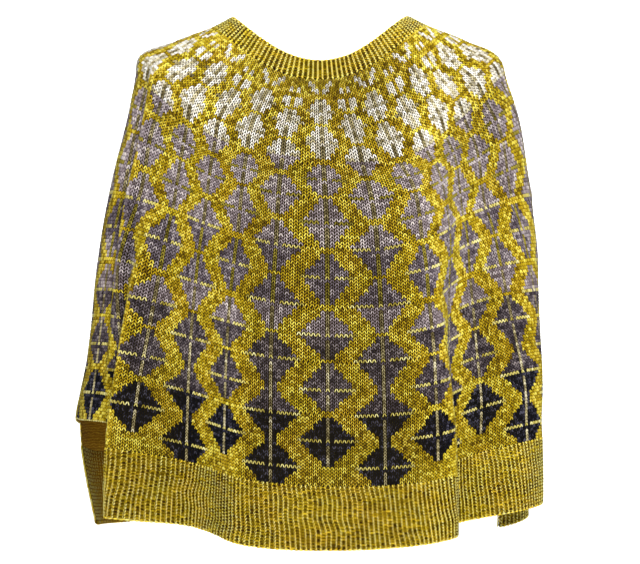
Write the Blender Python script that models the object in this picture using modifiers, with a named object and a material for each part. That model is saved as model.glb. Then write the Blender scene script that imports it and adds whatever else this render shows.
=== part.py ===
"""A knitted yoke poncho that keeps the form it has when worn, in metres with +Z up.

The front faces -Y. The origin is on the middle line of the neck opening, level with the
neckband's lower edge on the shoulders, which carry the poncho.

The cloth is knitted in the round from the neck down, so each place on it has two addresses:

    column  how far round it is, in columns of the pattern: 0 is the front centre, the numbers
            grow towards +X, and 28 columns make one turn
    row     how far down it is, in knitted rows below the neckband's lower edge

surface() turns columns and rows into places. Every piece is a patch of that one surface, and
Solidify makes its wall. The neckband runs on into the yoke, and the yoke into the body. The
body ends in two flat ribbed panels, front and back, and between them it is bound off higher
up, which leaves an opening for each arm.
"""

import bmesh
import bpy
import numpy as np

# ---------------------------------------------------------------- driving dimensions

WALL = 0.002  # thickness of the knitted cloth
SEAM_GAP = 0.0007  # between the edges of two pieces that are knitted on to each other
ROW_HEIGHT = 0.00354

COLUMNS = 28  # pattern columns in one turn
FRONT_PANEL = (-4.6, 5.6)  # columns
BACK_PANEL = (9.4, 19.6)

NECK_EDGE_ROW = -7.3
NECK_ROW = 0.0
YOKE_ROW = 58.0  # the yoke ends and the cloth hangs down from here
ARM_EDGE_ROW = 127.0  # the body is bound off here between the two panels
RIB_ROW = 133.0  # the ribbed panels begin here
HEM_ROW = 154.0

PANEL_STEPS = 30  # faces across a panel
ARM_STEPS = 12  # faces across the cloth between two panels

MUSTARD = (0.52, 0.38, 0.03)
LEMON = (0.66, 0.52, 0.05)


def table(names, rows):
    """A table's columns by name."""
    return dict(zip(names.split(), np.array(rows, float).T))


# The body's section at some rows: half widths to the left and right of the middle, depths to
# the front and back, the power of its superellipse (2 is an ellipse, more is squarer), the
# heights at the front, side and back, how sharply the front and back rise towards the sides,
# and how many columns the pattern has turned round the body at the sides.
SECTIONS = table(
    "row    left  right front  back power z_front z_side  z_back rise_f rise_b turn",
    [
        (-7.3, 0.105, 0.107, 0.095, 0.080, 2.00, -0.049, 0.012, -0.034, 2.0, 2, -0.3),
        (0.0, 0.128, 0.130, 0.106, 0.094, 2.00, -0.072, 0.000, -0.053, 2.2, 2, -0.4),
        (13.0, 0.173, 0.176, 0.133, 0.118, 2.00, -0.110, -0.015, -0.087, 2.7, 2, -0.5),
        (25.0, 0.217, 0.217, 0.152, 0.138, 2.10, -0.148, -0.036, -0.120, 3.2, 3, -0.5),
        (30.0, 0.219, 0.223, 0.157, 0.144, 2.15, -0.166, -0.056, -0.136, 3.4, 3, -0.4),
        (38.0, 0.226, 0.237, 0.162, 0.150, 2.15, -0.191, -0.095, -0.163, 3.0, 3, -0.2),
        (58.0, 0.248, 0.257, 0.172, 0.164, 2.20, -0.262, -0.194, -0.232, 2.2, 4, 0.0),
        (78.0, 0.261, 0.281, 0.175, 0.166, 2.20, -0.332, -0.285, -0.310, 2.0, 6, -0.3),
        (98.0, 0.266, 0.286, 0.177, 0.167, 2.25, -0.404, -0.364, -0.392, 2.0, 8, -0.3),
        (119.0, 0.273, 0.274, 0.177, 0.168, 2.30, -0.478, -0.441, -0.474, 2.0, 10, 0.0),
        (127.0, 0.277, 0.269, 0.177, 0.168, 2.30, -0.505, -0.471, -0.500, 2.0, 12, 0.0),
        (133.0, 0.277, 0.268, 0.177, 0.168, 2.30, -0.527, -0.491, -0.522, 2.0, 20, 0.0),
        (154.0, 0.274, 0.265, 0.176, 0.166, 2.30, -0.601, -0.563, -0.597, 2.0, 60, 0.0),
    ],
)

# Where the folds run in plan, a row for each crest, hollow or turn of the cloth, at the
# foot of the yoke and at the hem.
YOKE_FOLDS = table(
    "column x      y",
    [
        (-6.55, -0.246, -0.018),  # left shoulder's fall
        (-6.2, -0.240, -0.031),
        (-5.9, -0.227, -0.041),
        (-5.7, -0.218, -0.049),  # hollow behind the front's left edge
        (-5.5, -0.226, -0.057),  # front's left edge
        (-5.0, -0.208, -0.072),
        (-4.0, -0.170, -0.106),
        (-2.0, -0.091, -0.161),
        (-1.0, -0.048, -0.172),
        (0.0, 0.008, -0.172),
        (1.0, 0.062, -0.171),
        (2.0, 0.106, -0.150),  # crest beside the right pleat
        (3.0, 0.142, -0.117),
        (4.0, 0.162, -0.073),  # right pleat's floor
        (5.0, 0.195, -0.038),
        (6.0, 0.232, -0.008),
        (7.0, 0.256, 0.032),  # right shoulder's fall
        (8.0, 0.256, 0.080),
        (9.0, 0.232, 0.120),
        (11.0, 0.152, 0.165),
        (12.0, 0.105, 0.166),
        (14.0, 0.010, 0.176),
        (16.0, -0.084, 0.166),
        (17.0, -0.134, 0.168),
        (18.0, -0.184, 0.154),
        (19.0, -0.228, 0.120),
        (20.0, -0.249, 0.070),
        (20.8, -0.254, 0.024),
    ],
)
HEM_FOLDS = table(
    "column x      y",
    [
        (-4.5, -0.250, -0.085),  # front panel's left edge
        (-4.0, -0.218, -0.096),
        (-3.0, -0.152, -0.108),
        (-2.4, -0.124, -0.126),  # hollow left of the middle
        (-1.6, -0.091, -0.168),
        (-1.0, -0.055, -0.176),
        (0.0, 0.009, -0.178),
        (1.0, 0.073, -0.176),
        (2.0, 0.134, -0.160),
        (2.45, 0.155, -0.140),  # right pleat's lip
        (2.85, 0.151, -0.114),
        (3.15, 0.147, -0.095),  # its floor
        (3.5, 0.160, -0.084),
        (4.0, 0.186, -0.075),
        (5.0, 0.245, -0.047),
        (5.5, 0.264, -0.020),  # front panel's right edge
        (6.1, 0.257, 0.012),
        (6.9, 0.214, 0.028),
        (7.6, 0.176, 0.040),
        (8.1, 0.160, 0.054),  # inner fold under the right arm
        (8.7, 0.182, 0.066),
        (9.4, 0.222, 0.072),  # back panel's right edge
        (10.3, 0.262, 0.118),
        (11.2, 0.214, 0.160),
        (12.2, 0.150, 0.164),
        (13.1, 0.090, 0.178),
        (13.9, 0.036, 0.186),
        (14.8, -0.026, 0.168),
        (15.6, -0.080, 0.160),
        (16.5, -0.138, 0.178),
        (17.4, -0.198, 0.178),
        (18.3, -0.256, 0.162),
        (19.2, -0.298, 0.148),
        (19.9, -0.307, 0.112),  # back panel's left edge
        (20.8, -0.294, 0.045),
        (21.45, -0.287, 0.000),
        (22.0, -0.272, -0.030),
        (22.45, -0.252, -0.050),
        (22.7, -0.237, -0.060),
        (22.95, -0.222, -0.070),  # hollow behind the front panel's left edge
        (23.25, -0.239, -0.080),
    ],
)

# How far the cloth hangs away from its section: down at the yoke, at the body and at the hem,
# and towards +X at the hem. The second table gives the share of that in each row.
HANG = table(
    "column yoke_down body_down hem_down hem_right",
    [
        (-8.4, -0.005, -0.002, 0.015, 0.022),  # back panel's left edge
        (-7.0, 0.002, -0.002, 0.004, 0.006),
        (-5.6, 0.005, -0.007, 0.000, 0.000),
        (-4.6, 0.003, -0.008, 0.002, 0.000),  # front panel's left edge
        (-4.0, 0.001, -0.008, 0.000, 0.000),
        (-3.0, 0.000, -0.005, -0.004, 0.000),
        (-2.0, -0.003, -0.002, -0.002, 0.000),
        (-1.0, 0.000, 0.001, 0.000, 0.000),
        (0.0, 0.004, 0.004, 0.000, 0.000),
        (1.0, 0.008, 0.005, 0.000, 0.000),
        (2.0, 0.008, 0.005, 0.000, 0.000),
        (3.0, 0.013, 0.002, 0.000, 0.000),
        (4.0, 0.017, -0.004, 0.000, 0.000),
        (5.0, 0.022, -0.008, 0.000, 0.000),
        (6.0, 0.014, -0.006, 0.000, 0.000),
        (7.5, 0.002, 0.000, 0.002, 0.000),
        (9.4, 0.000, 0.000, 0.010, 0.000),  # back panel's right edge
        (10.4, 0.000, 0.000, 0.000, 0.000),
        (17.0, 0.000, 0.000, 0.008, 0.000),
        (18.5, -0.004, -0.001, 0.015, 0.008),
    ],
)
HANG_SHARE = table(
    "row    yoke body hem",
    [
        (-7.3, 0.0, 0.0, 0.0),
        (3.0, 0.0, 0.0, 0.0),
        (15.0, 0.8, 0.0, 0.0),
        (28.0, 1.0, 0.0, 0.0),
        (42.0, 0.8, 0.0, 0.0),
        (58.0, 0.5, 0.5, 0.0),
        (67.0, 0.3, 0.8, 0.0),
        (85.0, 0.1, 1.0, 0.0),
        (100.0, 0.0, 1.0, 0.0),
        (127.0, 0.0, 1.0, 0.0),
        (154.0, 0.0, 0.0, 1.0),
    ],
)

# How far round the columns have drifted from their even places, over the shoulders, at the foot
# of the yoke and in the upper body, and the share of that in each row.
DRIFT = table(
    "column shoulder foot body",
    [
        (-9.0, 0.00, 0.00, 0.00),
        (-6.0, 0.22, 0.00, 0.00),
        (-5.5, 0.21, -0.04, -0.15),
        (-5.0, 0.20, -0.06, -0.35),  # on the front's left edge in the upper body
        (-4.5, 0.18, 0.02, -0.08),
        (-4.0, 0.15, 0.06, 0.12),
        (-3.0, 0.06, 0.00, 0.02),
        (-2.0, 0.02, -0.02, -0.02),
        (0.0, 0.02, 0.00, 0.00),
        (1.0, 0.00, 0.04, 0.03),
        (2.0, 0.00, 0.24, 0.18),
        (3.0, 0.00, 0.28, 0.20),
        (4.0, -0.08, 0.18, 0.13),
        (5.0, -0.28, 0.00, 0.00),
        (6.0, -0.48, -0.12, -0.09),
        (7.0, -0.58, -0.06, -0.04),
        (8.0, -0.40, 0.00, 0.00),
        (10.0, 0.00, 0.00, 0.00),
    ],
)
DRIFT_SHARE = table(
    "row    shoulder foot body",
    [
        (-7.3, 0.0, 0.0, 0.0),
        (0.0, 0.5, 0.0, 0.0),
        (8.0, 1.0, 0.0, 0.0),
        (24.0, 1.0, 0.0, 0.0),
        (30.0, 0.6, 0.4, 0.0),
        (38.0, 0.0, 1.0, 0.0),
        (58.0, 0.0, 0.9, 0.0),
        (67.0, 0.0, 0.5, 0.5),
        (76.0, 0.0, 0.0, 1.0),
        (94.0, 0.0, 0.0, 0.8),
        (110.0, 0.0, 0.0, 0.3),
        (127.0, 0.0, 0.0, 0.0),
        (154.0, 0.0, 0.0, 0.0),
    ],
)
FOLDS_START_ROW = 8.0  # the cloth lies smooth on the shoulders above this row
HEM_BLEND = 1.5  # the power by which the yoke's folds give way to the hem's


# ---------------------------------------------------------------- the cloth's surface


def through(xs, ys, x):
    """A smooth curve through the points (xs, ys), read at x."""
    steps = np.diff(xs)
    slopes = np.diff(ys) / steps
    inner = (slopes[:-1] * steps[1:] + slopes[1:] * steps[:-1]) / (steps[1:] + steps[:-1])
    tangents = np.concatenate([slopes[:1], inner, slopes[-1:]])
    i = np.clip(np.searchsorted(xs, x, side="right") - 1, 0, len(steps) - 1)
    t = (x - xs[i]) / steps[i]
    rise = steps[i] * (t * (1 - t) ** 2 * tangents[i] - t**2 * (1 - t) * tangents[i + 1])
    return ys[i] + (ys[i + 1] - ys[i]) * t**2 * (3 - 2 * t) + rise


def round_turn(columns, xs, ys):
    """The same for a curve that closes after one turn."""
    long_xs = np.concatenate([xs[-3:] - COLUMNS, xs, xs[:3] + COLUMNS])
    long_ys = np.concatenate([ys[-3:], ys, ys[:3]])
    return through(long_xs, long_ys, (columns - xs[0]) % COLUMNS + xs[0])


def section_at(row):
    return {name: through(SECTIONS["row"], SECTIONS[name], row) for name in SECTIONS}


def from_front(columns):
    """The same columns counted from the front centre, negative to the left."""
    return (columns + COLUMNS / 2) % COLUMNS - COLUMNS / 2


def outline(section, columns):
    """The unfolded section in plan, with its columns evenly spaced round it."""
    angle = np.linspace(-np.pi, np.pi, 1441)
    sine, cosine = np.sin(angle), np.cos(angle)
    round_off = 2 / section["power"]
    half_width = np.where(sine > 0, section["right"], section["left"])
    half_depth = np.where(cosine > 0, section["front"], section["back"])
    x = half_width * np.sign(sine) * np.abs(sine) ** round_off
    y = -half_depth * np.sign(cosine) * np.abs(cosine) ** round_off
    along = np.concatenate([[0], np.cumsum(np.hypot(np.diff(x), np.diff(y)))])
    signed = from_front(columns)
    right = np.where(signed > 0, np.sin(np.pi * signed / (COLUMNS / 2)) ** 2, 0)
    turned = columns + section["turn"] * right
    wanted = (along[720] + (turned / COLUMNS) % 1 * along[-1]) % along[-1]
    return np.interp(wanted, along, x), np.interp(wanted, along, y)


def offsets(folds, row, columns):
    """How far the folds stand from the unfolded section of their row."""
    x, y = outline(section_at(row), columns)
    folded_x = round_turn(columns, folds["column"], folds["x"])
    folded_y = round_turn(columns, folds["column"], folds["y"])
    return folded_x - x, folded_y - y


def fold_shares(row):
    """The share of the yoke's folds and of the hem's folds in a row."""
    if row < YOKE_ROW:
        t = np.clip((row - FOLDS_START_ROW) / (YOKE_ROW - FOLDS_START_ROW), 0, 1)
        return t * t * (3 - 2 * t), 0.0
    hem = 1 - (1 - (row - YOKE_ROW) / (HEM_ROW - YOKE_ROW)) ** HEM_BLEND
    return 1 - hem, hem


def height(section, columns):
    signed = from_front(columns)
    in_front = np.abs(signed) < COLUMNS / 4
    power = np.where(in_front, section["rise_f"], section["rise_b"])
    middle = np.where(in_front, section["z_front"], section["z_back"])
    sideways = np.abs(np.sin(2 * np.pi * signed / COLUMNS)) ** power
    return middle + (section["z_side"] - middle) * sideways


def hang(name, place, row, columns):
    share = through(HANG_SHARE["row"], HANG_SHARE[place], row)
    return share * round_turn(columns, HANG["column"], HANG[name])


def drifted(columns, row):
    """Where round the section these columns have come to lie in this row."""
    drift = 0
    for place in ("shoulder", "foot", "body"):
        share = through(DRIFT_SHARE["row"], DRIFT_SHARE[place], row)
        drift = drift + share * round_turn(columns, DRIFT["column"], DRIFT[place])
    return columns + drift


def surface(columns, rows):
    """Places in the middle of the cloth, as an array of rows x columns x 3."""
    rings = []
    for row in rows:
        section = section_at(row)
        along = drifted(columns, row)
        x, y = outline(section, along)
        yoke_x, yoke_y = offsets(YOKE_FOLDS, YOKE_ROW, along)
        hem_x, hem_y = offsets(HEM_FOLDS, HEM_ROW, along)
        yoke, hem = fold_shares(row)
        x = x + yoke * yoke_x + hem * hem_x + hang("hem_right", "hem", row, along)
        y = y + yoke * yoke_y + hem * hem_y
        down = sum(hang(place + "_down", place, row, along) for place in ("yoke", "body", "hem"))
        rings.append(np.stack([x, y, height(section, along) - down], axis=-1))
    return np.array(rings)


# ---------------------------------------------------------------- the pieces


def steps_between(edges, count):
    return np.linspace(edges[0], edges[1], count + 1)


def columns_all_round():
    """Columns for one turn, with one on each edge of the two panels."""
    right_arm = steps_between((FRONT_PANEL[1], BACK_PANEL[0]), ARM_STEPS)
    left_arm = steps_between((BACK_PANEL[1], FRONT_PANEL[0] + COLUMNS), ARM_STEPS)
    front = steps_between(FRONT_PANEL, PANEL_STEPS)
    back = steps_between(BACK_PANEL, PANEL_STEPS)
    return np.concatenate([front[:-1], right_arm[:-1], back[:-1], left_arm[:-1]])


def rows_between(first, last):
    """The sections' rows from one to another, and a row between each two."""
    own = SECTIONS["row"]
    own = own[(own >= first) & (own <= last)]
    return np.sort(np.concatenate([own, (own[1:] + own[:-1]) / 2]))


def knitted_in_body(column, row):
    """Whether the body has cloth there: under the arms it ends at the bound-off edge."""
    in_front = FRONT_PANEL[0] < column < FRONT_PANEL[1]
    in_back = BACK_PANEL[0] < column < BACK_PANEL[1]
    return row < ARM_EDGE_ROW or in_front or in_back


def yarn(name, colour):
    material = bpy.data.materials.new(name)
    material.use_nodes = True
    shader = material.node_tree.nodes["Principled BSDF"]
    shader.inputs["Base Color"].default_value = (*colour, 1)
    shader.inputs["Roughness"].default_value = 0.9
    shader.inputs["Metallic"].default_value = 0
    return material


def knit(name, columns, rows, material, closed=False, has_cloth=lambda column, row: True):
    """A patch of the surface as an object, its wall half to each side of the surface."""
    shell = bmesh.new()
    rings = [[shell.verts.new(place) for place in ring] for ring in surface(columns, rows)]
    next_columns = np.append(columns[1:], columns[0] + COLUMNS if closed else [])
    for upper, lower, top, bottom in zip(rings, rings[1:], rows, rows[1:]):
        for i, (left, right) in enumerate(zip(columns, next_columns)):
            j = (i + 1) % len(columns)
            if has_cloth((left + right) / 2, (top + bottom) / 2):
                shell.faces.new((upper[i], lower[i], lower[j], upper[j]))
    unused = [vert for vert in shell.verts if not vert.link_faces]
    bmesh.ops.delete(shell, geom=unused, context="VERTS")
    mesh = bpy.data.meshes.new(name)
    shell.to_mesh(mesh)
    shell.free()
    mesh.shade_smooth()
    mesh.materials.append(material)
    piece = bpy.data.objects.new(name, mesh)
    wall = piece.modifiers.new("wall", "SOLIDIFY")
    wall.thickness = WALL
    wall.offset = 0
    return piece


def neckband(material):
    rows = steps_between((NECK_EDGE_ROW, NECK_ROW - SEAM_GAP / ROW_HEIGHT), 2)
    return knit("neckband", columns_all_round(), rows, material, closed=True)


def yoke(material):
    rows = rows_between(NECK_ROW, YOKE_ROW)
    rows[-1] -= SEAM_GAP / ROW_HEIGHT
    return knit("yoke", columns_all_round(), rows, material, closed=True)


def body(material):
    rows = rows_between(YOKE_ROW, RIB_ROW)
    return knit("body", columns_all_round(), rows, material, True, knitted_in_body)


def hem_panel(name, panel, material):
    rows = steps_between((RIB_ROW + SEAM_GAP / ROW_HEIGHT, HEM_ROW), 3)
    return knit(name, steps_between(panel, PANEL_STEPS), rows, material)


def main():
    for old in list(bpy.data.objects):
        bpy.data.objects.remove(old)
    collection = bpy.data.collections.new("knitted_poncho")
    bpy.context.scene.collection.children.link(collection)
    poncho = bpy.data.objects.new("poncho", None)
    collection.objects.link(poncho)
    colourwork = yarn("colourwork_knit", MUSTARD)
    rib = yarn("rib_knit", LEMON)
    pieces = [
        neckband(rib),
        yoke(colourwork),
        body(colourwork),
        hem_panel("hem_front", FRONT_PANEL, rib),
        hem_panel("hem_back", BACK_PANEL, rib),
    ]
    for piece in pieces:
        collection.objects.link(piece)
        piece.parent = poncho


main()
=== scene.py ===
"""The looks of a knitted yoke poncho that keeps the form it has when worn.

The front faces -Y, and the CAD frame gives every piece its place. A place on the cloth has two
addresses: its column, which counts the pattern's columns round the body from the front centre
towards +X, 28 to a turn, and its row, which counts knitted rows down from the neckband. The
tables below are the ones that the frame's solids are built from. A thin wall of cloth follows
each solid, and the stitches stand on it as yarn of their own: two strands for a knit stitch, a
bar for a purl one, and a loop for each stitch of an edge.
"""

import bmesh
import bpy
import numpy as np
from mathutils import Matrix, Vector


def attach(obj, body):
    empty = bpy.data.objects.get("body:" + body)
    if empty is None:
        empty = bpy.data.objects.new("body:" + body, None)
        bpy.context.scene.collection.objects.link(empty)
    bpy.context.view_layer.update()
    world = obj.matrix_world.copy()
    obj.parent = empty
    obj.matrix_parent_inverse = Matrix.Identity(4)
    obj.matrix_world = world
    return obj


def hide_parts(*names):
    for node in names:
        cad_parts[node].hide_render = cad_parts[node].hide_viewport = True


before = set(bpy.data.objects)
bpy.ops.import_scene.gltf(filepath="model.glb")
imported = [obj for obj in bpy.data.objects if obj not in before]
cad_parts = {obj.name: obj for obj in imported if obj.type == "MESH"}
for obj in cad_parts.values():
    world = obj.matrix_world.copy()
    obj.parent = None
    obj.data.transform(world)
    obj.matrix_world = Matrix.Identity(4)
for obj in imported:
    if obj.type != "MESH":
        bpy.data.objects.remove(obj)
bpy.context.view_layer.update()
scene = bpy.context.scene

# ---------------------------------------------------------------- the cloth's form

ROW_HEIGHT = 0.00354
COLUMNS = 28  # pattern columns in one turn
FRONT_PANEL = (-4.6, 5.6)  # columns
BACK_PANEL = (9.4, 19.6)
NECK_EDGE_ROW = -7.3
YOKE_ROW = 58.0  # the yoke ends and the cloth hangs down from here
ARM_EDGE_ROW = 127.0  # the body is bound off here between the two panels
RIB_ROW = 133.0  # the ribbed panels begin here
HEM_ROW = 154.0


def table(names, rows):
    """A table's columns by name."""
    return dict(zip(names.split(), np.array(rows, float).T))


# The body's section at some rows: half widths to the left and right of the middle, depths to
# the front and back, the power of its superellipse (2 is an ellipse, more is squarer), the
# heights at the front, side and back, how sharply the front and back rise towards the sides,
# and how many columns the pattern has turned round the body at the sides.
SECTIONS = table(
    "row    left  right front  back power z_front z_side  z_back rise_f rise_b turn",
    [
        (-7.3, 0.105, 0.107, 0.095, 0.080, 2.00, -0.049, 0.012, -0.034, 2.0, 2, -0.3),
        (0.0, 0.128, 0.130, 0.106, 0.094, 2.00, -0.072, 0.000, -0.053, 2.2, 2, -0.4),
        (13.0, 0.173, 0.176, 0.133, 0.118, 2.00, -0.110, -0.015, -0.087, 2.7, 2, -0.5),
        (25.0, 0.217, 0.217, 0.152, 0.138, 2.10, -0.148, -0.036, -0.120, 3.2, 3, -0.5),
        (30.0, 0.219, 0.223, 0.157, 0.144, 2.15, -0.166, -0.056, -0.136, 3.4, 3, -0.4),
        (38.0, 0.226, 0.237, 0.162, 0.150, 2.15, -0.191, -0.095, -0.163, 3.0, 3, -0.2),
        (58.0, 0.248, 0.257, 0.172, 0.164, 2.20, -0.262, -0.194, -0.232, 2.2, 4, 0.0),
        (78.0, 0.261, 0.281, 0.175, 0.166, 2.20, -0.332, -0.285, -0.310, 2.0, 6, -0.3),
        (98.0, 0.266, 0.286, 0.177, 0.167, 2.25, -0.404, -0.364, -0.392, 2.0, 8, -0.3),
        (119.0, 0.273, 0.274, 0.177, 0.168, 2.30, -0.478, -0.441, -0.474, 2.0, 10, 0.0),
        (127.0, 0.277, 0.269, 0.177, 0.168, 2.30, -0.505, -0.471, -0.500, 2.0, 12, 0.0),
        (133.0, 0.277, 0.268, 0.177, 0.168, 2.30, -0.527, -0.491, -0.522, 2.0, 20, 0.0),
        (154.0, 0.274, 0.265, 0.176, 0.166, 2.30, -0.601, -0.563, -0.597, 2.0, 60, 0.0),
    ],
)

# Where the folds run in plan, a row for each crest, hollow or turn of the cloth, at the
# foot of the yoke and at the hem.
YOKE_FOLDS = table(
    "column x      y",
    [
        (-6.55, -0.246, -0.018),  # left shoulder's fall
        (-6.2, -0.240, -0.031),
        (-5.9, -0.227, -0.041),
        (-5.7, -0.218, -0.049),  # hollow behind the front's left edge
        (-5.5, -0.226, -0.057),  # front's left edge
        (-5.0, -0.208, -0.072),
        (-4.0, -0.170, -0.106),
        (-2.0, -0.091, -0.161),
        (-1.0, -0.048, -0.172),
        (0.0, 0.008, -0.172),
        (1.0, 0.062, -0.171),
        (2.0, 0.106, -0.150),  # crest beside the right pleat
        (3.0, 0.142, -0.117),
        (4.0, 0.162, -0.073),  # right pleat's floor
        (5.0, 0.195, -0.038),
        (6.0, 0.232, -0.008),
        (7.0, 0.256, 0.032),  # right shoulder's fall
        (8.0, 0.256, 0.080),
        (9.0, 0.232, 0.120),
        (11.0, 0.152, 0.165),
        (12.0, 0.105, 0.166),
        (14.0, 0.010, 0.176),
        (16.0, -0.084, 0.166),
        (17.0, -0.134, 0.168),
        (18.0, -0.184, 0.154),
        (19.0, -0.228, 0.120),
        (20.0, -0.249, 0.070),
        (20.8, -0.254, 0.024),
    ],
)
HEM_FOLDS = table(
    "column x      y",
    [
        (-4.5, -0.250, -0.085),  # front panel's left edge
        (-4.0, -0.218, -0.096),
        (-3.0, -0.152, -0.108),
        (-2.4, -0.124, -0.126),  # hollow left of the middle
        (-1.6, -0.091, -0.168),
        (-1.0, -0.055, -0.176),
        (0.0, 0.009, -0.178),
        (1.0, 0.073, -0.176),
        (2.0, 0.134, -0.160),
        (2.45, 0.155, -0.140),  # right pleat's lip
        (2.85, 0.151, -0.114),
        (3.15, 0.147, -0.095),  # its floor
        (3.5, 0.160, -0.084),
        (4.0, 0.186, -0.075),
        (5.0, 0.245, -0.047),
        (5.5, 0.264, -0.020),  # front panel's right edge
        (6.1, 0.257, 0.012),
        (6.9, 0.214, 0.028),
        (7.6, 0.176, 0.040),
        (8.1, 0.160, 0.054),  # inner fold under the right arm
        (8.7, 0.182, 0.066),
        (9.4, 0.222, 0.072),  # back panel's right edge
        (10.3, 0.262, 0.118),
        (11.2, 0.214, 0.160),
        (12.2, 0.150, 0.164),
        (13.1, 0.090, 0.178),
        (13.9, 0.036, 0.186),
        (14.8, -0.026, 0.168),
        (15.6, -0.080, 0.160),
        (16.5, -0.138, 0.178),
        (17.4, -0.198, 0.178),
        (18.3, -0.256, 0.162),
        (19.2, -0.298, 0.148),
        (19.9, -0.307, 0.112),  # back panel's left edge
        (20.8, -0.294, 0.045),
        (21.45, -0.287, 0.000),
        (22.0, -0.272, -0.030),
        (22.45, -0.252, -0.050),
        (22.7, -0.237, -0.060),
        (22.95, -0.222, -0.070),  # hollow behind the front panel's left edge
        (23.25, -0.239, -0.080),
    ],
)

# How far the cloth hangs away from its section: down at the yoke, at the body and at the hem,
# and towards +X at the hem. The second table gives the share of that in each row.
HANG = table(
    "column yoke_down body_down hem_down hem_right",
    [
        (-8.4, -0.005, -0.002, 0.015, 0.022),  # back panel's left edge
        (-7.0, 0.002, -0.002, 0.004, 0.006),
        (-5.6, 0.005, -0.007, 0.000, 0.000),
        (-4.6, 0.003, -0.008, 0.002, 0.000),  # front panel's left edge
        (-4.0, 0.001, -0.008, 0.000, 0.000),
        (-3.0, 0.000, -0.005, -0.004, 0.000),
        (-2.0, -0.003, -0.002, -0.002, 0.000),
        (-1.0, 0.000, 0.001, 0.000, 0.000),
        (0.0, 0.004, 0.004, 0.000, 0.000),
        (1.0, 0.008, 0.005, 0.000, 0.000),
        (2.0, 0.008, 0.005, 0.000, 0.000),
        (3.0, 0.013, 0.002, 0.000, 0.000),
        (4.0, 0.017, -0.004, 0.000, 0.000),
        (5.0, 0.022, -0.008, 0.000, 0.000),
        (6.0, 0.014, -0.006, 0.000, 0.000),
        (7.5, 0.002, 0.000, 0.002, 0.000),
        (9.4, 0.000, 0.000, 0.010, 0.000),  # back panel's right edge
        (10.4, 0.000, 0.000, 0.000, 0.000),
        (17.0, 0.000, 0.000, 0.008, 0.000),
        (18.5, -0.004, -0.001, 0.015, 0.008),
    ],
)
HANG_SHARE = table(
    "row    yoke body hem",
    [
        (-7.3, 0.0, 0.0, 0.0),
        (3.0, 0.0, 0.0, 0.0),
        (15.0, 0.8, 0.0, 0.0),
        (28.0, 1.0, 0.0, 0.0),
        (42.0, 0.8, 0.0, 0.0),
        (58.0, 0.5, 0.5, 0.0),
        (67.0, 0.3, 0.8, 0.0),
        (85.0, 0.1, 1.0, 0.0),
        (100.0, 0.0, 1.0, 0.0),
        (127.0, 0.0, 1.0, 0.0),
        (154.0, 0.0, 0.0, 1.0),
    ],
)

# How far round the columns have drifted from their even places, over the shoulders, at the foot
# of the yoke and in the upper body, and the share of that in each row.
DRIFT = table(
    "column shoulder foot body",
    [
        (-9.0, 0.00, 0.00, 0.00),
        (-6.0, 0.22, 0.00, 0.00),
        (-5.5, 0.21, -0.04, -0.15),
        (-5.0, 0.20, -0.06, -0.35),  # on the front's left edge in the upper body
        (-4.5, 0.18, 0.02, -0.08),
        (-4.0, 0.15, 0.06, 0.12),
        (-3.0, 0.06, 0.00, 0.02),
        (-2.0, 0.02, -0.02, -0.02),
        (0.0, 0.02, 0.00, 0.00),
        (1.0, 0.00, 0.04, 0.03),
        (2.0, 0.00, 0.24, 0.18),
        (3.0, 0.00, 0.28, 0.20),
        (4.0, -0.08, 0.18, 0.13),
        (5.0, -0.28, 0.00, 0.00),
        (6.0, -0.48, -0.12, -0.09),
        (7.0, -0.58, -0.06, -0.04),
        (8.0, -0.40, 0.00, 0.00),
        (10.0, 0.00, 0.00, 0.00),
    ],
)
DRIFT_SHARE = table(
    "row    shoulder foot body",
    [
        (-7.3, 0.0, 0.0, 0.0),
        (0.0, 0.5, 0.0, 0.0),
        (8.0, 1.0, 0.0, 0.0),
        (24.0, 1.0, 0.0, 0.0),
        (30.0, 0.6, 0.4, 0.0),
        (38.0, 0.0, 1.0, 0.0),
        (58.0, 0.0, 0.9, 0.0),
        (67.0, 0.0, 0.5, 0.5),
        (76.0, 0.0, 0.0, 1.0),
        (94.0, 0.0, 0.0, 0.8),
        (110.0, 0.0, 0.0, 0.3),
        (127.0, 0.0, 0.0, 0.0),
        (154.0, 0.0, 0.0, 0.0),
    ],
)
FOLDS_START_ROW = 8.0  # the cloth lies smooth on the shoulders above this row
HEM_BLEND = 1.5  # the power by which the yoke's folds give way to the hem's
OUTLINE_POINTS = 1441  # an odd number, so that one stands at the front centre


# ---------------------------------------------------------------- the cloth's surface


def through(xs, ys, x):
    """A smooth curve through the points (xs, ys), read at x."""
    steps = np.diff(xs)
    slopes = np.diff(ys) / steps
    inner = (slopes[:-1] * steps[1:] + slopes[1:] * steps[:-1]) / (steps[1:] + steps[:-1])
    tangents = np.concatenate([slopes[:1], inner, slopes[-1:]])
    i = np.clip(np.searchsorted(xs, x, side="right") - 1, 0, len(steps) - 1)
    t = (x - xs[i]) / steps[i]
    rise = steps[i] * (t * (1 - t) ** 2 * tangents[i] - t**2 * (1 - t) * tangents[i + 1])
    return ys[i] + (ys[i + 1] - ys[i]) * t**2 * (3 - 2 * t) + rise


def round_turn(columns, xs, ys):
    """The same for a curve that closes after one turn."""
    long_xs = np.concatenate([xs[-3:] - COLUMNS, xs, xs[:3] + COLUMNS])
    long_ys = np.concatenate([ys[-3:], ys, ys[:3]])
    return through(long_xs, long_ys, (columns - xs[0]) % COLUMNS + xs[0])


def section_at(row):
    """The body's section at any row."""
    return {name: through(SECTIONS["row"], SECTIONS[name], row) for name in SECTIONS}


def from_front(columns):
    """The same columns counted from the front centre, negative to the left."""
    return (columns + COLUMNS / 2) % COLUMNS - COLUMNS / 2


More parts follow.
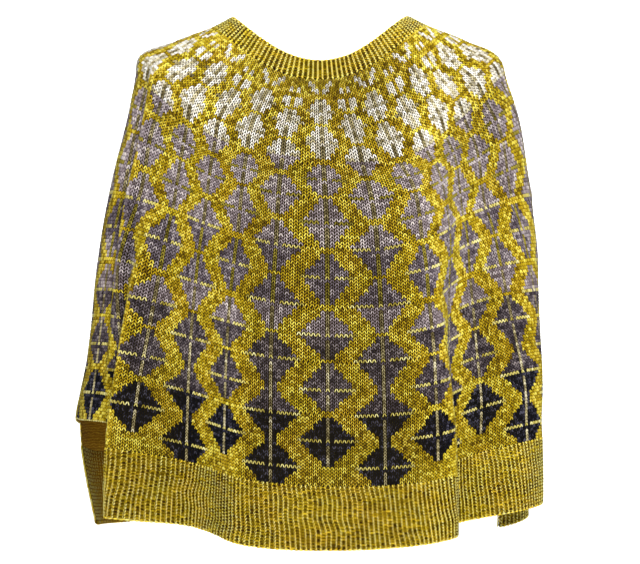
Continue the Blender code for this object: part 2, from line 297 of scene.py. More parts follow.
def outline(section, columns):
    """The unfolded section in plan, with its columns evenly spaced round it."""
    angle = np.linspace(-np.pi, np.pi, OUTLINE_POINTS)
    sine, cosine = np.sin(angle), np.cos(angle)
    round_off = 2 / section["power"]
    half_width = np.where(sine > 0, section["right"], section["left"])
    half_depth = np.where(cosine > 0, section["front"], section["back"])
    x = half_width * np.sign(sine) * np.abs(sine) ** round_off
    y = -half_depth * np.sign(cosine) * np.abs(cosine) ** round_off
    along = np.concatenate([[0], np.cumsum(np.hypot(np.diff(x), np.diff(y)))])
    signed = from_front(columns)
    right = np.where(signed > 0, np.sin(np.pi * signed / (COLUMNS / 2)) ** 2, 0)
    turned = columns + section["turn"] * right
    front_centre = along[OUTLINE_POINTS // 2]
    wanted = (front_centre + (turned / COLUMNS) % 1 * along[-1]) % along[-1]
    return np.interp(wanted, along, x), np.interp(wanted, along, y)


def offsets(folds, row, columns):
    """How far the folds stand from the unfolded section of their row."""
    x, y = outline(section_at(row), columns)
    folded_x = round_turn(columns, folds["column"], folds["x"])
    folded_y = round_turn(columns, folds["column"], folds["y"])
    return folded_x - x, folded_y - y


def fold_shares(row):
    """The share of the yoke's folds and of the hem's folds in a row."""
    if row < YOKE_ROW:
        t = np.clip((row - FOLDS_START_ROW) / (YOKE_ROW - FOLDS_START_ROW), 0, 1)
        return t * t * (3 - 2 * t), 0.0
    hem = 1 - (1 - (row - YOKE_ROW) / (HEM_ROW - YOKE_ROW)) ** HEM_BLEND
    return 1 - hem, hem


def height(section, columns):
    """How high each column of a section lies before the cloth hangs away from it."""
    signed = from_front(columns)
    in_front = np.abs(signed) < COLUMNS / 4
    power = np.where(in_front, section["rise_f"], section["rise_b"])
    middle = np.where(in_front, section["z_front"], section["z_back"])
    sideways = np.abs(np.sin(2 * np.pi * signed / COLUMNS)) ** power
    return middle + (section["z_side"] - middle) * sideways


def hang(name, place, row, columns):
    """How far one of the table's hangs moves the columns of a row."""
    share = through(HANG_SHARE["row"], HANG_SHARE[place], row)
    return share * round_turn(columns, HANG["column"], HANG[name])


def drifted(columns, row):
    """Where round the section these columns have come to lie in this row."""
    drift = 0
    for place in ("shoulder", "foot", "body"):
        share = through(DRIFT_SHARE["row"], DRIFT_SHARE[place], row)
        drift = drift + share * round_turn(columns, DRIFT["column"], DRIFT[place])
    return columns + drift


def surface(columns, rows):
    """Places in the middle of the cloth, as an array of rows x columns x 3."""
    rings = []
    for row in rows:
        section = section_at(row)
        along = drifted(columns, row)
        x, y = outline(section, along)
        yoke_x, yoke_y = offsets(YOKE_FOLDS, YOKE_ROW, along)
        hem_x, hem_y = offsets(HEM_FOLDS, HEM_ROW, along)
        yoke, hem = fold_shares(row)
        x = x + yoke * yoke_x + hem * hem_x + hang("hem_right", "hem", row, along)
        y = y + yoke * yoke_y + hem * hem_y
        down = sum(hang(place + "_down", place, row, along) for place in ("yoke", "body", "hem"))
        rings.append(np.stack([x, y, height(section, along) - down], axis=-1))
    return np.array(rings)


# ---------------------------------------------------------------- places on the cloth

FINE_COLUMNS = 12  # grid points to a column
FINE_ROWS = 162
GRID_ROWS = np.linspace(NECK_EDGE_ROW, HEM_ROW, FINE_ROWS)


def with_first(grid):
    """The grid closed into a ring, with its first column again at the end."""
    return np.concatenate([grid, grid[:, :1]], axis=1)


def cloth_grid():
    """The places and outward directions of the cloth on a fine grid."""
    columns = np.arange(COLUMNS * FINE_COLUMNS) / FINE_COLUMNS
    places = surface(columns, GRID_ROWS)
    to_right = np.roll(places, -1, axis=1) - np.roll(places, 1, axis=1)
    outward = np.cross(np.gradient(places, axis=0), to_right)
    outward /= np.linalg.norm(outward, axis=-1, keepdims=True)
    return with_first(places), with_first(outward)


CLOTH, OUTWARD = cloth_grid()


def between(grid, i, j, s, t):
    """The grid read inside its cell at column i and row j, a share s across and t down."""
    upper = grid[j, i] * (1 - s) + grid[j, i + 1] * s
    lower = grid[j + 1, i] * (1 - s) + grid[j + 1, i + 1] * s
    return upper * (1 - t) + lower * t


def on_cloth(columns, rows, out):
    """Places at these columns and rows, out metres outside the middle of the cloth."""
    x = columns % COLUMNS * FINE_COLUMNS
    y = (rows - NECK_EDGE_ROW) / (GRID_ROWS[1] - GRID_ROWS[0])
    i = np.clip(np.floor(x).astype(int), 0, COLUMNS * FINE_COLUMNS - 1)
    j = np.clip(np.floor(y).astype(int), 0, FINE_ROWS - 2)
    cell = i, j, (x - i)[..., None], (y - j)[..., None]
    return between(CLOTH, *cell) + out[..., None] * between(OUTWARD, *cell)


def in_panels(columns):
    """Which columns lie on the front or the back panel."""
    signed = from_front(columns)
    front = (signed > FRONT_PANEL[0]) & (signed < FRONT_PANEL[1])
    turned = columns % COLUMNS
    return front | ((turned > BACK_PANEL[0]) & (turned < BACK_PANEL[1]))


# ---------------------------------------------------------------- yarns

MARL_SCALE = 350  # spots of about 3 mm
MARL = 0.3  # how much the spots change a stitch's tone
HUE_SCALE = 30  # patches of about 30 mm, which the dye makes warmer or greener
FIBRE_SCALE = 1500
FIBRE_HEIGHT = 0.0002
FIBRE_STRENGTH = 0.6
FLOAT_HEIGHT = 4  # of the level strands inside the cloth, in fibres


def linear(colour):
    """An sRGB colour, 0 to 255, as linear light."""
    share = np.array(colour) / 255
    return np.where(share < 0.04045, share / 12.92, ((share + 0.055) / 1.055) ** 2.4)


def wool(name, shade, middle, bright, hue_drift=0.0, floats=0.0):
    """A matt wool, from its shade to its bright colour by the tone of each stitch.

    floats is how strongly it shows the strands that lie level across the inside of the cloth.
    """
    material = bpy.data.materials.new(name)
    material.use_nodes = True
    nodes, links = material.node_tree.nodes, material.node_tree.links
    shader = nodes["Principled BSDF"]
    shader.inputs["Roughness"].default_value = 0.9
    shader.inputs["Specular IOR Level"].default_value = 0.1
    shader.inputs["Sheen Weight"].default_value = 0.05
    shader.inputs["Sheen Roughness"].default_value = 0.5
    spot = nodes.new("ShaderNodeTexCoord")

    def noise(scale):
        node = nodes.new("ShaderNodeTexNoise")
        node.inputs["Scale"].default_value = scale
        links.new(spot.outputs["Object"], node.inputs["Vector"])
        return node.outputs["Fac"]

    def scaled(value, factor, offset):
        node = nodes.new("ShaderNodeMath")
        node.operation = "MULTIPLY_ADD"
        node.inputs[1].default_value = factor
        links.new(value, node.inputs[0])
        if isinstance(offset, float):
            node.inputs[2].default_value = offset
        else:
            links.new(offset, node.inputs[2])
        return node.outputs[0]

    tone = nodes.new("ShaderNodeAttribute")
    tone.attribute_name = "tone"
    strands = nodes.new("ShaderNodeTexWave")
    strands.bands_direction = "Z"
    strands.inputs["Scale"].default_value = 0.1 * np.pi / ROW_HEIGHT  # one strand to a row
    strands.inputs["Distortion"].default_value = 6.0
    strands.inputs["Detail Scale"].default_value = 2.0
    links.new(spot.outputs["Object"], strands.inputs["Vector"])
    shaded = scaled(strands.outputs["Fac"], floats, tone.outputs["Fac"])
    ramp = nodes.new("ShaderNodeValToRGB")
    # The spots add half of MARL on average, so the shade and the middle stand that much higher.
    stops = ramp.color_ramp.elements
    stops[0].position, stops[0].color = MARL / 2, (*linear(shade), 1)
    stops[1].position, stops[1].color = 1.0, (*linear(bright), 1)
    stops.new(0.5 + MARL / 2).color = (*linear(middle), 1)
    links.new(scaled(noise(MARL_SCALE), MARL, shaded), ramp.inputs["Fac"])
    turned = nodes.new("ShaderNodeHueSaturation")
    links.new(scaled(noise(HUE_SCALE), hue_drift, 0.5 - hue_drift / 2), turned.inputs["Hue"])
    links.new(ramp.outputs["Color"], turned.inputs["Color"])
    links.new(turned.outputs["Color"], shader.inputs["Base Color"])
    bump = nodes.new("ShaderNodeBump")
    bump.inputs["Strength"].default_value = FIBRE_STRENGTH
    bump.inputs["Distance"].default_value = FIBRE_HEIGHT
    relief = scaled(strands.outputs["Fac"], FLOAT_HEIGHT * floats, noise(FIBRE_SCALE))
    links.new(relief, bump.inputs["Height"])
    links.new(bump.outputs["Normal"], shader.inputs["Normal"])
    return material


# Each yarn's colours, from its darkest stitches through its middle to its brightest.
YARNS = {
    "mustard": wool("mustard_wool", (104, 80, 2), (196, 166, 22), (252, 236, 100), 0.03),
    "olive": wool("olive_wool", (52, 44, 6), (108, 96, 26), (160, 146, 56)),
    "straw": wool("straw_wool", (150, 132, 44), (222, 208, 116), (248, 241, 178)),
    "white": wool("white_wool", (176, 166, 138), (248, 242, 228), (255, 253, 250)),
    "sand": wool("sand_wool", (104, 92, 58), (188, 174, 126), (236, 226, 190)),
    "lavender": wool("lavender_wool", (104, 90, 92), (166, 152, 156), (230, 218, 214)),
    "slate": wool("slate_wool", (68, 58, 66), (122, 110, 118), (190, 178, 178)),
    "graphite": wool("graphite_wool", (40, 34, 42), (86, 76, 82), (150, 138, 138)),
    "ink": wool("ink_wool", (4, 4, 8), (16, 16, 26), (84, 82, 98)),
    # The next two are one rib yarn: a lit copy for the rib's legs and the edges' loops, and a
    # shaded copy for its purl bars, as painted light and painted shade.
    "lit_rib_yarn": wool("lit_rib_wool", (104, 76, 2), (255, 224, 50), (255, 244, 140), 0.03),
    "shaded_rib_yarn": wool("shaded_rib_wool", (64, 42, 0), (190, 158, 16), (244, 216, 60), 0.03),
    # The wall's outside, seen between the stitches, is painted shade: a dark sheet where the depth
    # of the knit lies in shade, tinted olive by the strands carried behind the stitches.
    "shadow": wool("shadow_wool", (12, 8, 0), (34, 26, 2), (70, 58, 14)),
    "lining": wool("lining_wool", (52, 32, 2), (148, 106, 18), (222, 184, 70), floats=0.25),
}

PATCHES = (1.6, 9)  # columns across and rows high
STREAKS = (0.5, 1.2)
PATCH_TONE = 0.06
STREAK_TONE = 0.06
STITCH_TONE = 0.16


def dyed(columns, rows, wide, tall, seed):
    """The soft patches that hand-dyed yarn leaves, wide columns across and tall rows high."""
    across = round(COLUMNS / wide)
    high = int((HEM_ROW - NECK_EDGE_ROW) / tall) + 3
    grid = with_first(np.random.default_rng(seed).standard_normal((high, across)))
    x = columns % COLUMNS / COLUMNS * across
    y = (rows - NECK_EDGE_ROW) / tall
    i, j = np.clip(x.astype(int), 0, across - 1), y.astype(int)
    s, t = x - i, y - j
    return between(grid, i, j, s * s * (3 - 2 * s), t * t * (3 - 2 * t))


def tones(columns, rows, seed, middle=0.5):
    """The tone of each stitch: broad patches, short streaks along the row, and its own chance."""
    own = np.random.default_rng(seed).standard_normal(len(columns))
    patches = dyed(columns, rows, *PATCHES, seed + 1)
    streaks = dyed(columns, rows, *STREAKS, seed + 2)
    return middle + PATCH_TONE * patches + STREAK_TONE * streaks + STITCH_TONE * own


# ---------------------------------------------------------------- grains of yarn

# The forms of a grain of yarn, across in stitches, down in rows and out in metres, and how much
# lighter its tone is there. A strand is a half-round from its first point to its last, open
# towards the cloth that it lies on, and an edge's loop is closed all round. The tone column is
# painted shade where the yarn dips into the cloth and along its sides, and a painted highlight
# along its crest.
KNIT_LEG = table(
    "across down out tone",
    [
        (0.03, -0.22, -0.0007, -0.60),  # upper end
        (0.02, 0.20, -0.0007, -0.25),
        (0.14, 0.14, 0.0012, 0.10),
        (0.27, 0.08, -0.0007, -0.25),
        (0.24, 0.92, -0.0007, -0.25),
        (0.36, 0.86, 0.0012, 0.10),
        (0.49, 0.80, -0.0007, -0.25),
        (0.46, 1.20, -0.0008, -0.60),  # lower end
    ],
)
RIB_LEG = table(
    "across down out tone",
    [
        (0.34, -0.22, -0.0006, -0.40),  # upper end
        (0.22, 0.26, -0.0009, -0.30),
        (0.38, 0.20, 0.0015, 0.10),
        (0.54, 0.14, -0.0009, -0.30),
        (0.43, 0.86, -0.0009, -0.30),
        (0.59, 0.80, 0.0015, 0.10),
        (0.75, 0.74, -0.0009, -0.30),
        (0.50, 1.22, -0.0006, -0.40),  # lower end
    ],
)
RIB_BAR = table(
    "across down out tone",
    [
        (-0.60, 0.50, -0.0012, -0.40),  # under the leg on one side
        (-0.20, 0.74, -0.0013, -0.50),
        (-0.20, 0.44, 0.0004, 0.20),
        (-0.20, 0.14, -0.0013, -0.50),
        (0.20, 0.74, -0.0013, -0.50),
        (0.20, 0.44, 0.0004, 0.20),
        (0.20, 0.14, -0.0013, -0.50),
        (0.60, 0.50, -0.0012, -0.40),  # and on the other
    ],
)
STRAND_FACES = [
    (0, 1, 2),
    (0, 2, 3),
    (1, 4, 2),
    (4, 5, 2),
    (2, 5, 3),
    (5, 6, 3),
    (4, 7, 5),
    (5, 7, 6),
]
EDGE_LOOP = table(
    "across down out tone",
    [
        (-0.64, 0.05, 0.0000, -0.20),  # under the loop before it
        (0.00, 0.40, 0.0002, -0.10),
        (0.00, 0.02, 0.0012, 0.10),
        (0.00, -0.34, 0.0002, -0.10),
        (0.00, 0.02, -0.0010, -0.20),
        (0.64, 0.05, 0.0000, -0.20),  # under the next
    ],
)
LOOP_FACES = [
    (0, 1, 2),
    (0, 2, 3),
    (0, 3, 4),
    (0, 4, 1),
    (5, 2, 1),
    (5, 3, 2),
    (5, 4, 3),
    (5, 1, 4),
]


def grains(form, faces, columns, rows, width, tone, yarn=0, side=1, face=1, length=0):
    """A grain of yarn at each column and row. width is a stitch's width in columns.

    side -1 mirrors the form across, and face -1 puts it on the inside. A length, in rows, turns
    the form by a quarter, so that its across runs down the rows.
    """
    width = np.broadcast_to(width, columns.shape)[:, None]
    if length:
        place_columns = columns[:, None] + width * form["down"]
        place_rows = rows[:, None] + length * form["across"]
    else:
        place_columns = columns[:, None] + width * form["across"] * side
        place_rows = rows[:, None] + form["down"]
    out = np.broadcast_to(form["out"] * face, place_rows.shape)
    points = on_cloth(place_columns, place_rows, out)
    corners = np.array(faces)
    if side * face * (-1 if length else 1) < 0:
        corners = corners[:, ::-1]
    corners = corners + len(form["out"]) * np.arange(len(columns))[:, None, None]
    # The form's tone adds its painted shade and painted highlight to the stitch's own tone.
    tone = (np.broadcast_to(tone, columns.shape)[:, None] + form["tone"]).ravel()
    yarn = np.repeat(np.broadcast_to(yarn, columns.shape), len(faces))
    return points.reshape(-1, 3), corners.reshape(-1, 3), tone, yarn


def set_tone(mesh, tone):
    """Gives each point of a mesh the tone that the yarns' materials read."""
    attribute = mesh.attributes.new("tone", "FLOAT", "POINT")
    attribute.data.foreach_set("value", tone.astype(np.float32))


def joined(name, batches, yarns):
    """The batches of grains as one piece that rides on the body."""
    starts = np.cumsum([0] + [len(batch[0]) for batch in batches[:-1]])
    points = np.concatenate([batch[0] for batch in batches])
    faces = np.concatenate([batch[1] + start for batch, start in zip(batches, starts)])
    tone = np.concatenate([batch[2] for batch in batches])
    yarn = np.concatenate([batch[3] for batch in batches])
    mesh = bpy.data.meshes.new(name)
    mesh.from_pydata(points, (), faces)
    for each in yarns:
        mesh.materials.append(YARNS[each])
    mesh.polygons.foreach_set("material_index", yarn.astype(np.int32))
    set_tone(mesh, tone)
    mesh.shade_smooth()
    piece = bpy.data.objects.new(name, mesh)
    scene.collection.objects.link(piece)
    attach(piece, "root")
    return piece


# ---------------------------------------------------------------- the colourwork

FIRST_STITCHES = 7  # in a column at the neckband
STRAND_TONE = 0.14  # how much a stitch's two strands differ
INCREASE_ROWS = [18, 31, 43, 58, 77, 94, 110]  # a stitch more in each column from these rows on

# The diamonds of the even and of the odd columns: the rows they begin at, are widest in and end
# at, and how many stitches they then reach to each side of their middle.
EVEN_DIAMONDS = table(
    "first line last widest",
    [
        (8, 12, 16, 2.6),
        (18, 23, 28, 3.2),
        (31, 36, 41, 3.6),
        (43, 50, 57, 4.6),
        (60, 67, 75, 4.8),
        (78, 85, 92, 5.6),
        (94, 102, 108, 5.8),
        (111, 118, 126, 6.7),
    ],
)
ODD_DIAMONDS = table(
    "first line last widest",
    [
        (13, 17, 22, 2.7),
        (24, 28, 33, 3.2),
        (36, 42, 48, 4.1),
        (51, 58, 66, 5.2),
        (68, 76, 84, 5.6),
        (86, 93, 102, 5.7),
        (103, 110, 118, 6.6),
        (119, 127, 134, 6.7),
    ],
)
ROUND_ROWS = 48  # a diamond that ends by this row has rounded sides
ROUNDNESS = 0.7  # the power that its width grows by, where 1 gives straight sides

# The small leaves above the first diamonds: the row, and the stitches to each side of the middle.
EVEN_LEAVES = {1: (3,), 2: (2, 3), 3: (2,), 4: (1, 2), 5: (1,)}
ODD_LEAVES = {4: (1,), 5: (1,), 8: (1, 2), 9: (1, 2), 10: (1, 2), 11: (1,)}

# The yarn of the diamonds, and of the lines across and down their crosses, each from the row
# that it begins at, with how much lighter it is than that yarn's middle and how wide its
# stitches are.
DIAMOND_YARN = [
    (0, "white", 0.0, 1.0),
    (29, "lavender", 0.0, 1.0),
    (58, "slate", -0.05, 1.0),
    (66, "slate", 0.0, 1.0),
    (76, "lavender", -0.16, 1.0),
    (86, "graphite", 0.0, 1.0),
    (110, "ink", 0.0, 1.0),
]
ACROSS_YARN = [(0, "sand", 0.0, 1.0), (29, "olive", 0.45, 1.0), (57, "straw", -0.05, 1.0)]
DOWN_YARN = [
    (0, "sand", 0.0, 1.0),
    (24, "sand", -0.35, 1.0),
    (58, "olive", 0.3, 1.0),
    (78, "sand", -0.35, 0.9),
    (95, "sand", -0.05, 0.8),
]
COLOURWORK = ["mustard", "straw", "sand", "olive", "white", "lavender", "slate", "graphite", "ink"]


def stitches_in_column(row):
    """How many stitches a pattern column has in a row."""
    return FIRST_STITCHES + int(np.searchsorted(INCREASE_ROWS, row, side="right"))


def yarn_in(yarns, row):
    """The number in COLOURWORK, the tone and the width of the yarn that is in use in a row."""
    _, name, tone, width = [entry for entry in yarns if entry[0] <= row][-1]
    return COLOURWORK.index(name), tone, width


def reach(first, line, last, widest, row):
    """How many stitches a diamond reaches to each side in a row."""
    if row <= line:
        share = (row - first + 1) / (line - first + 1)
    else:
        share = (last - row + 1) / (last - line + 1)
    return widest * share ** (ROUNDNESS if last <= ROUND_ROWS else 1)


def chart(row, stitch, count):
    """Each stitch's yarn in COLOURWORK, tone and width, with count stitches to a column."""
    yarn, tone, width = np.zeros(len(stitch), int), np.zeros(len(stitch)), np.ones(len(stitch))

    def knit_with(where, yarns):
        yarn[where], tone[where], width[where] = yarn_in(yarns, row)

    patterns = (EVEN_DIAMONDS, EVEN_LEAVES), (ODD_DIAMONDS, ODD_LEAVES)
    for parity, (diamonds, leaves) in enumerate(patterns):
        column = 2 * np.round((stitch / count - parity) / 2) + parity
        off = np.abs(stitch - column * count).astype(int)
        knit_with(np.isin(off, leaves.get(row, ())), DIAMOND_YARN)
        for first, line, last, widest in zip(*diamonds.values()):
            if first <= row <= last:
                inside = off <= np.round(reach(first, line, last, widest, row))
                knit_with(inside, DIAMOND_YARN)
                if row == line:
                    knit_with(inside & (off != 1), ACROSS_YARN)
                elif row != line + 1:  # the upright breaks off just under the cross line
                    knit_with(off == 0, DOWN_YARN)
    return yarn, tone, width / count


def colourwork_band(name, first, last):
    """The stitches of the colourwork from one row to another."""
    found = []
    for row in range(first, last):
        count = stitches_in_column(row)
        stitch = np.arange(COLUMNS * count)
        column = stitch / count
        facts = np.stack([column, np.full(len(stitch), row), *chart(row, stitch, count)])
        found.append(facts[:, in_panels(column) | (row < ARM_EDGE_ROW)])
    columns, rows, yarn, tone, widths = np.concatenate(found, axis=1)
    tone = tone + tones(columns, rows, first)
    legs = []
    for side in (1, -1):
        chance = np.random.default_rng(2 * first + side + 1).standard_normal(len(tone))
        own = tone + STRAND_TONE * chance
        legs.append(grains(KNIT_LEG, STRAND_FACES, columns, rows, widths, own, yarn, side))
    return joined(name, legs, COLOURWORK)


# ---------------------------------------------------------------- the ribs and edges

# How far the front rib's wales lean sideways by the hem, in columns.
RIB_LEAN = table(
    "column lean",
    [
        (-4.6, 0.00),
        (-4.3, -0.12),
        (-3.6, -0.13),
        (-3.0, -0.09),
        (-2.1, -0.11),
        (-1.4, 0.02),
        (0.0, 0.12),
        (1.4, 0.14),
        (2.4, 0.08),
        (3.4, 0.11),
        (4.4, 0.15),
        (5.3, 0.08),
        (5.6, 0.00),
    ],
)
WAVER = (0.7, 5)  # columns across and rows high, of the places where the wales waver
WAVER_WIDTH = 0.02  # columns
WAVER_SEED = 7
RIB_SEED = 50
ALONG_SEED = 90
DOWN_SEED = 91
EDGE_TONE = 0.6
SELVEDGE_WIDTH = 0.06  # columns
SELVEDGE_ROWS = 2  # rows to each loop


def leaning(columns, rows):
    """The columns at which the wales of the rib stand, which lean and waver down the rows."""
    signed = from_front(columns)
    lean = np.interp(signed, RIB_LEAN["column"], RIB_LEAN["lean"], left=0, right=0)
    down = np.clip((rows - RIB_ROW) / (HEM_ROW - RIB_ROW), 0, 1)
    return columns + down * lean + WAVER_WIDTH * dyed(columns, rows, *WAVER, WAVER_SEED)


def rib(name, first_column, repeats, repeat, rows, closed, leg_tone, bar_tone):
    """One-by-one rib: knit wales between purl wales, and the other way about on the inside.

    A repeat, in columns, is one wale of each. A closed rib goes all round.
    """
    knit_wales = first_column + repeat * np.arange(repeats + (0 if closed else 1))
    purl_wales = first_column + repeat * (np.arange(repeats) + 0.5)
    batches = []
    # Whichever face they are on, the legs take the lit copy of the rib yarn at a high tone and the
    # bars its shaded copy at a low tone: painted light and painted shade of one yarn.
    for face, knits, purls in ((1, knit_wales, purl_wales), (-1, purl_wales, knit_wales)):
        strands = (
            (RIB_LEG, knits, rows, leg_tone, 0, (1, -1)),
            (RIB_BAR, knits, rows, bar_tone, 1, (1,)),
            (RIB_BAR, purls, rows[:-1] + 0.5, bar_tone, 1, (1,)),
        )
        for form, wales, at, middle, yarn, sides in strands:
            column, row = (each.ravel() for each in np.meshgrid(wales, at))
            tone = tones(column, row, RIB_SEED + face + yarn, middle)
            column = leaning(column, row)
            for side in sides:
                batches.append(
                    grains(form, STRAND_FACES, column, row, repeat / 2, tone, yarn, side, face)
                )
    return joined(name, batches, ["lit_rib_yarn", "shaded_rib_yarn"])


def edge_along(first, last, loops, row):
    """A chain of loops along a row."""
    columns = np.linspace(first, last, loops + 1)
    width = columns[1] - columns[0]
    middles = (columns[1:] + columns[:-1]) / 2
    rows = np.full(loops, float(row))
    tone = tones(middles, rows, ALONG_SEED, EDGE_TONE)
    return grains(EDGE_LOOP, LOOP_FACES, middles, rows, width, tone)


def edge_down(column, rows):
    """A chain of loops down a column."""
    middles = (rows[1:] + rows[:-1]) / 2
    columns = np.full(len(middles), float(column))
    tone = tones(columns % COLUMNS, middles, DOWN_SEED, EDGE_TONE)
    length = rows[1] - rows[0]
    return grains(EDGE_LOOP, LOOP_FACES, columns, middles, SELVEDGE_WIDTH, tone, length=length)


# ---------------------------------------------------------------- the cloth under the stitches

WALL_OUT = -0.0003  # the outer face of the wall, from the middle of the cloth
WALL_THICKNESS = 0.0006
WALL_COLUMNS = 10  # faces to a column
WALL_ROWS = 3.0  # rows to a face
WALL_TONE = 0.3


def rows_between(first, last):
    """The rows at which a wall has points."""
    return np.linspace(first, last, int(np.ceil((last - first) / WALL_ROWS)) + 1)


def across_panel(panel):
    """The columns at which a panel's wall has points."""
    return np.linspace(*panel, round((panel[1] - panel[0]) * WALL_COLUMNS) + 1)


def knitted(column, row):
    """Whether there is cloth there: under the arms it ends at the bound-off edge."""
    return row < ARM_EDGE_ROW or in_panels(np.array([column]))[0]


def wall(node, columns, rows, closed, has_cloth=lambda column, row: True):
    """The thin wall of cloth that the stitches stand on, in place of a node of the frame."""
    shell = bmesh.new()
    grid_columns, grid_rows = np.meshgrid(columns, rows)
    places = on_cloth(grid_columns, grid_rows, np.full(grid_rows.shape, WALL_OUT))
    rings = [[shell.verts.new(place) for place in ring] for ring in places]
    next_columns = np.append(columns[1:], columns[0] + COLUMNS if closed else [])
    for upper, lower, top, bottom in zip(rings, rings[1:], rows, rows[1:]):
        for i, (left, right) in enumerate(zip(columns, next_columns)):
            j = (i + 1) % len(columns)
            if has_cloth((left + right) / 2, (top + bottom) / 2):
                shell.faces.new((upper[i], lower[i], lower[j], upper[j]))
    bmesh.ops.delete(shell, geom=[v for v in shell.verts if not v.link_faces], context="VERTS")
    mesh = bpy.data.meshes.new(node + "_cloth")
    shell.to_mesh(mesh)
    shell.free()
    set_tone(mesh, np.full(len(mesh.vertices), WALL_TONE))
    mesh.shade_smooth()
    # The outside of the wall is painted shade between the stitches.
    mesh.materials.append(YARNS["shadow"])  # between the stitches outside
    mesh.materials.append(YARNS["lining"])  # the inside
    piece = bpy.data.objects.new(node + "_cloth", mesh)
    scene.collection.objects.link(piece)
    thickness = piece.modifiers.new("thickness", "SOLIDIFY")
    thickness.thickness = WALL_THICKNESS
    thickness.offset = -1
    thickness.material_offset = 1  # which gives the inside the second material
    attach(piece, "root")
    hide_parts(node)
    return piece


# ---------------------------------------------------------------- the poncho

all_round = np.arange(COLUMNS * WALL_COLUMNS) / WALL_COLUMNS
body_rows = np.append(
    rows_between(YOKE_ROW, ARM_EDGE_ROW), rows_between(ARM_EDGE_ROW, RIB_ROW)[1:]
)
front_columns, back_columns = across_panel(FRONT_PANEL), across_panel(BACK_PANEL)
hem_rows = rows_between(RIB_ROW, HEM_ROW)
neckband = wall("neckband", all_round, rows_between(NECK_EDGE_ROW, 0), True)
yoke = wall("yoke", all_round, rows_between(0, YOKE_ROW), True)
body = wall("body", all_round, body_rows, True, knitted)
hem_front = wall("hem_front", front_columns, hem_rows, False)
hem_back = wall("hem_back", back_columns, hem_rows, False)

yoke_stitches = [
    colourwork_band("yoke_upper_stitches", 0, 31),
    colourwork_band("yoke_lower_stitches", 31, 58),
]
body_stitches = [
    colourwork_band("body_upper_stitches", 58, 77),
    colourwork_band("body_middle_stitches", 77, 94),
    colourwork_band("body_lower_stitches", 94, 110),
    colourwork_band("body_edge_stitches", 110, 133),
]

NECK_REPEATS = 60
PANEL_REPEATS = 61
ARM_LOOPS = 53
PANEL_REPEAT = (FRONT_PANEL[1] - FRONT_PANEL[0]) / PANEL_REPEATS
NECK_RIB_ROWS = np.arange(NECK_EDGE_ROW + 0.3, -0.5)  # from just below the edge's loops
HEM_RIB_ROWS = np.arange(RIB_ROW, HEM_ROW - 0.5)
neck_rib = rib(
    "neckband_rib",
    first_column=0,
    repeats=NECK_REPEATS,
    repeat=COLUMNS / NECK_REPEATS,
    rows=NECK_RIB_ROWS,
    closed=True,
    leg_tone=0.85,
    bar_tone=0.28,
)
front_rib, back_rib = [
    rib(
        name,
        first_column=panel[0],
        repeats=PANEL_REPEATS,
        repeat=PANEL_REPEAT,
        rows=HEM_RIB_ROWS,
        closed=False,
        leg_tone=0.76,
        bar_tone=0.32,
    )
    for name, panel in (("hem_front_rib", FRONT_PANEL), ("hem_back_rib", BACK_PANEL))
]

ARM_EDGES = (FRONT_PANEL[1], BACK_PANEL[0]), (BACK_PANEL[1], FRONT_PANEL[0] + COLUMNS)
selvedge_rows = np.arange(ARM_EDGE_ROW, HEM_ROW + 0.5, SELVEDGE_ROWS)
neck_loops = [edge_along(0, COLUMNS, 2 * NECK_REPEATS, NECK_EDGE_ROW)]
arm_loops = [edge_along(*arm, ARM_LOOPS, ARM_EDGE_ROW + 0.1) for arm in ARM_EDGES]
panel_loops = [edge_down(column, selvedge_rows) for arm in ARM_EDGES for column in arm]
for panel in (FRONT_PANEL, BACK_PANEL):
    panel_loops.append(edge_along(*panel, 2 * PANEL_REPEATS, HEM_ROW))
neck_edge = joined("neck_edge", neck_loops, ["lit_rib_yarn"])
arm_edges = joined("arm_edges", arm_loops, ["straw"])
panel_edges = joined("panel_edges", panel_loops, ["lit_rib_yarn"])

# ---------------------------------------------------------------- the setting

FLOOR_HEIGHT = -2.2
FLOOR_RADIUS = 2.8
BEND_RADIUS = 0.9
WALL_TOP = 2.4
BEND_POINTS = 10
TURN_POINTS = 64
HUB_RADIUS = 0.001
PALE = (0.8, 0.8, 0.8, 1)


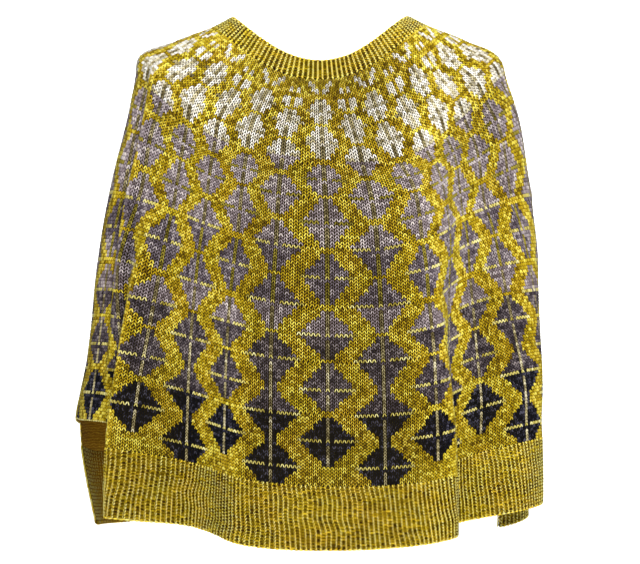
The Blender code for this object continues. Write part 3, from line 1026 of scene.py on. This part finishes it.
def backdrop():
    """A pale round floor that curves up into a pale wall all round."""
    bend = np.linspace(0, np.pi / 2, BEND_POINTS)
    radii = [HUB_RADIUS, *(FLOOR_RADIUS + BEND_RADIUS * np.sin(bend)), FLOOR_RADIUS + BEND_RADIUS]
    heights = [FLOOR_HEIGHT, *(FLOOR_HEIGHT + BEND_RADIUS * (1 - np.cos(bend))), WALL_TOP]
    turn = np.linspace(0, 2 * np.pi, TURN_POINTS, endpoint=False)
    bowl = bmesh.new()
    rings = [
        [bowl.verts.new((radius * np.sin(a), -radius * np.cos(a), height)) for a in turn]
        for radius, height in zip(radii, heights)
    ]
    for inner, outer in zip(rings, rings[1:]):
        for i in range(len(turn)):
            j = (i + 1) % len(turn)
            bowl.faces.new((inner[i], outer[i], outer[j], inner[j]))
    mesh = bpy.data.meshes.new("backdrop")
    bowl.to_mesh(mesh)
    bowl.free()
    mesh.shade_smooth()
    material = bpy.data.materials.new("backdrop_paint")
    material.use_nodes = True
    shader = material.node_tree.nodes["Principled BSDF"]
    shader.inputs["Base Color"].default_value = PALE
    shader.inputs["Roughness"].default_value = 0.95
    mesh.materials.append(material)
    piece = bpy.data.objects.new("backdrop", mesh)
    scene.collection.objects.link(piece)


def soft_light(name, place, towards, size, watts, spread=180):
    """A round light, size metres across, that spreads over this many degrees."""
    light = bpy.data.lights.new(name, "AREA")
    light.shape = "DISK"
    light.size = size
    light.energy = watts
    light.spread = np.radians(spread)
    lamp = bpy.data.objects.new(name, light)
    lamp.location = place
    lamp.rotation_euler = (Vector(towards) - Vector(place)).to_track_quat("-Z", "Y").to_euler()
    scene.collection.objects.link(lamp)


backdrop()
soft_light("key", (0.4, -2.4, 1.0), (0, 0, -0.3), size=0.8, watts=69)
soft_light("fill", (-0.1, -2.6, -1.0), (0, 0, -0.5), size=1.2, watts=11)
soft_light("wall_wash", (0, 1.6, 1.6), (0, 3.7, -0.6), size=1.6, watts=78, spread=100)
soft_light("rear", (-0.6, 2.7, 1.3), (0, 0, -0.3), size=1.0, watts=30)
world = bpy.data.worlds.new("daylight")
world.use_nodes = True
daylight = world.node_tree.nodes["Background"].inputs
daylight["Color"].default_value = (1, 1, 1, 1)
daylight["Strength"].default_value = 0.08
scene.world = world
scene.view_settings.view_transform = "Standard"

lens = bpy.data.cameras.new("front_view")
lens.lens = 107.8  # mm, as the sensor is
lens.sensor_width = 36
camera = bpy.data.objects.new("front_view", lens)
camera.location = (0, -2.3, -0.304)
camera.rotation_euler = (np.pi / 2, 0, 0)
scene.collection.objects.link(camera)
scene.camera = camera
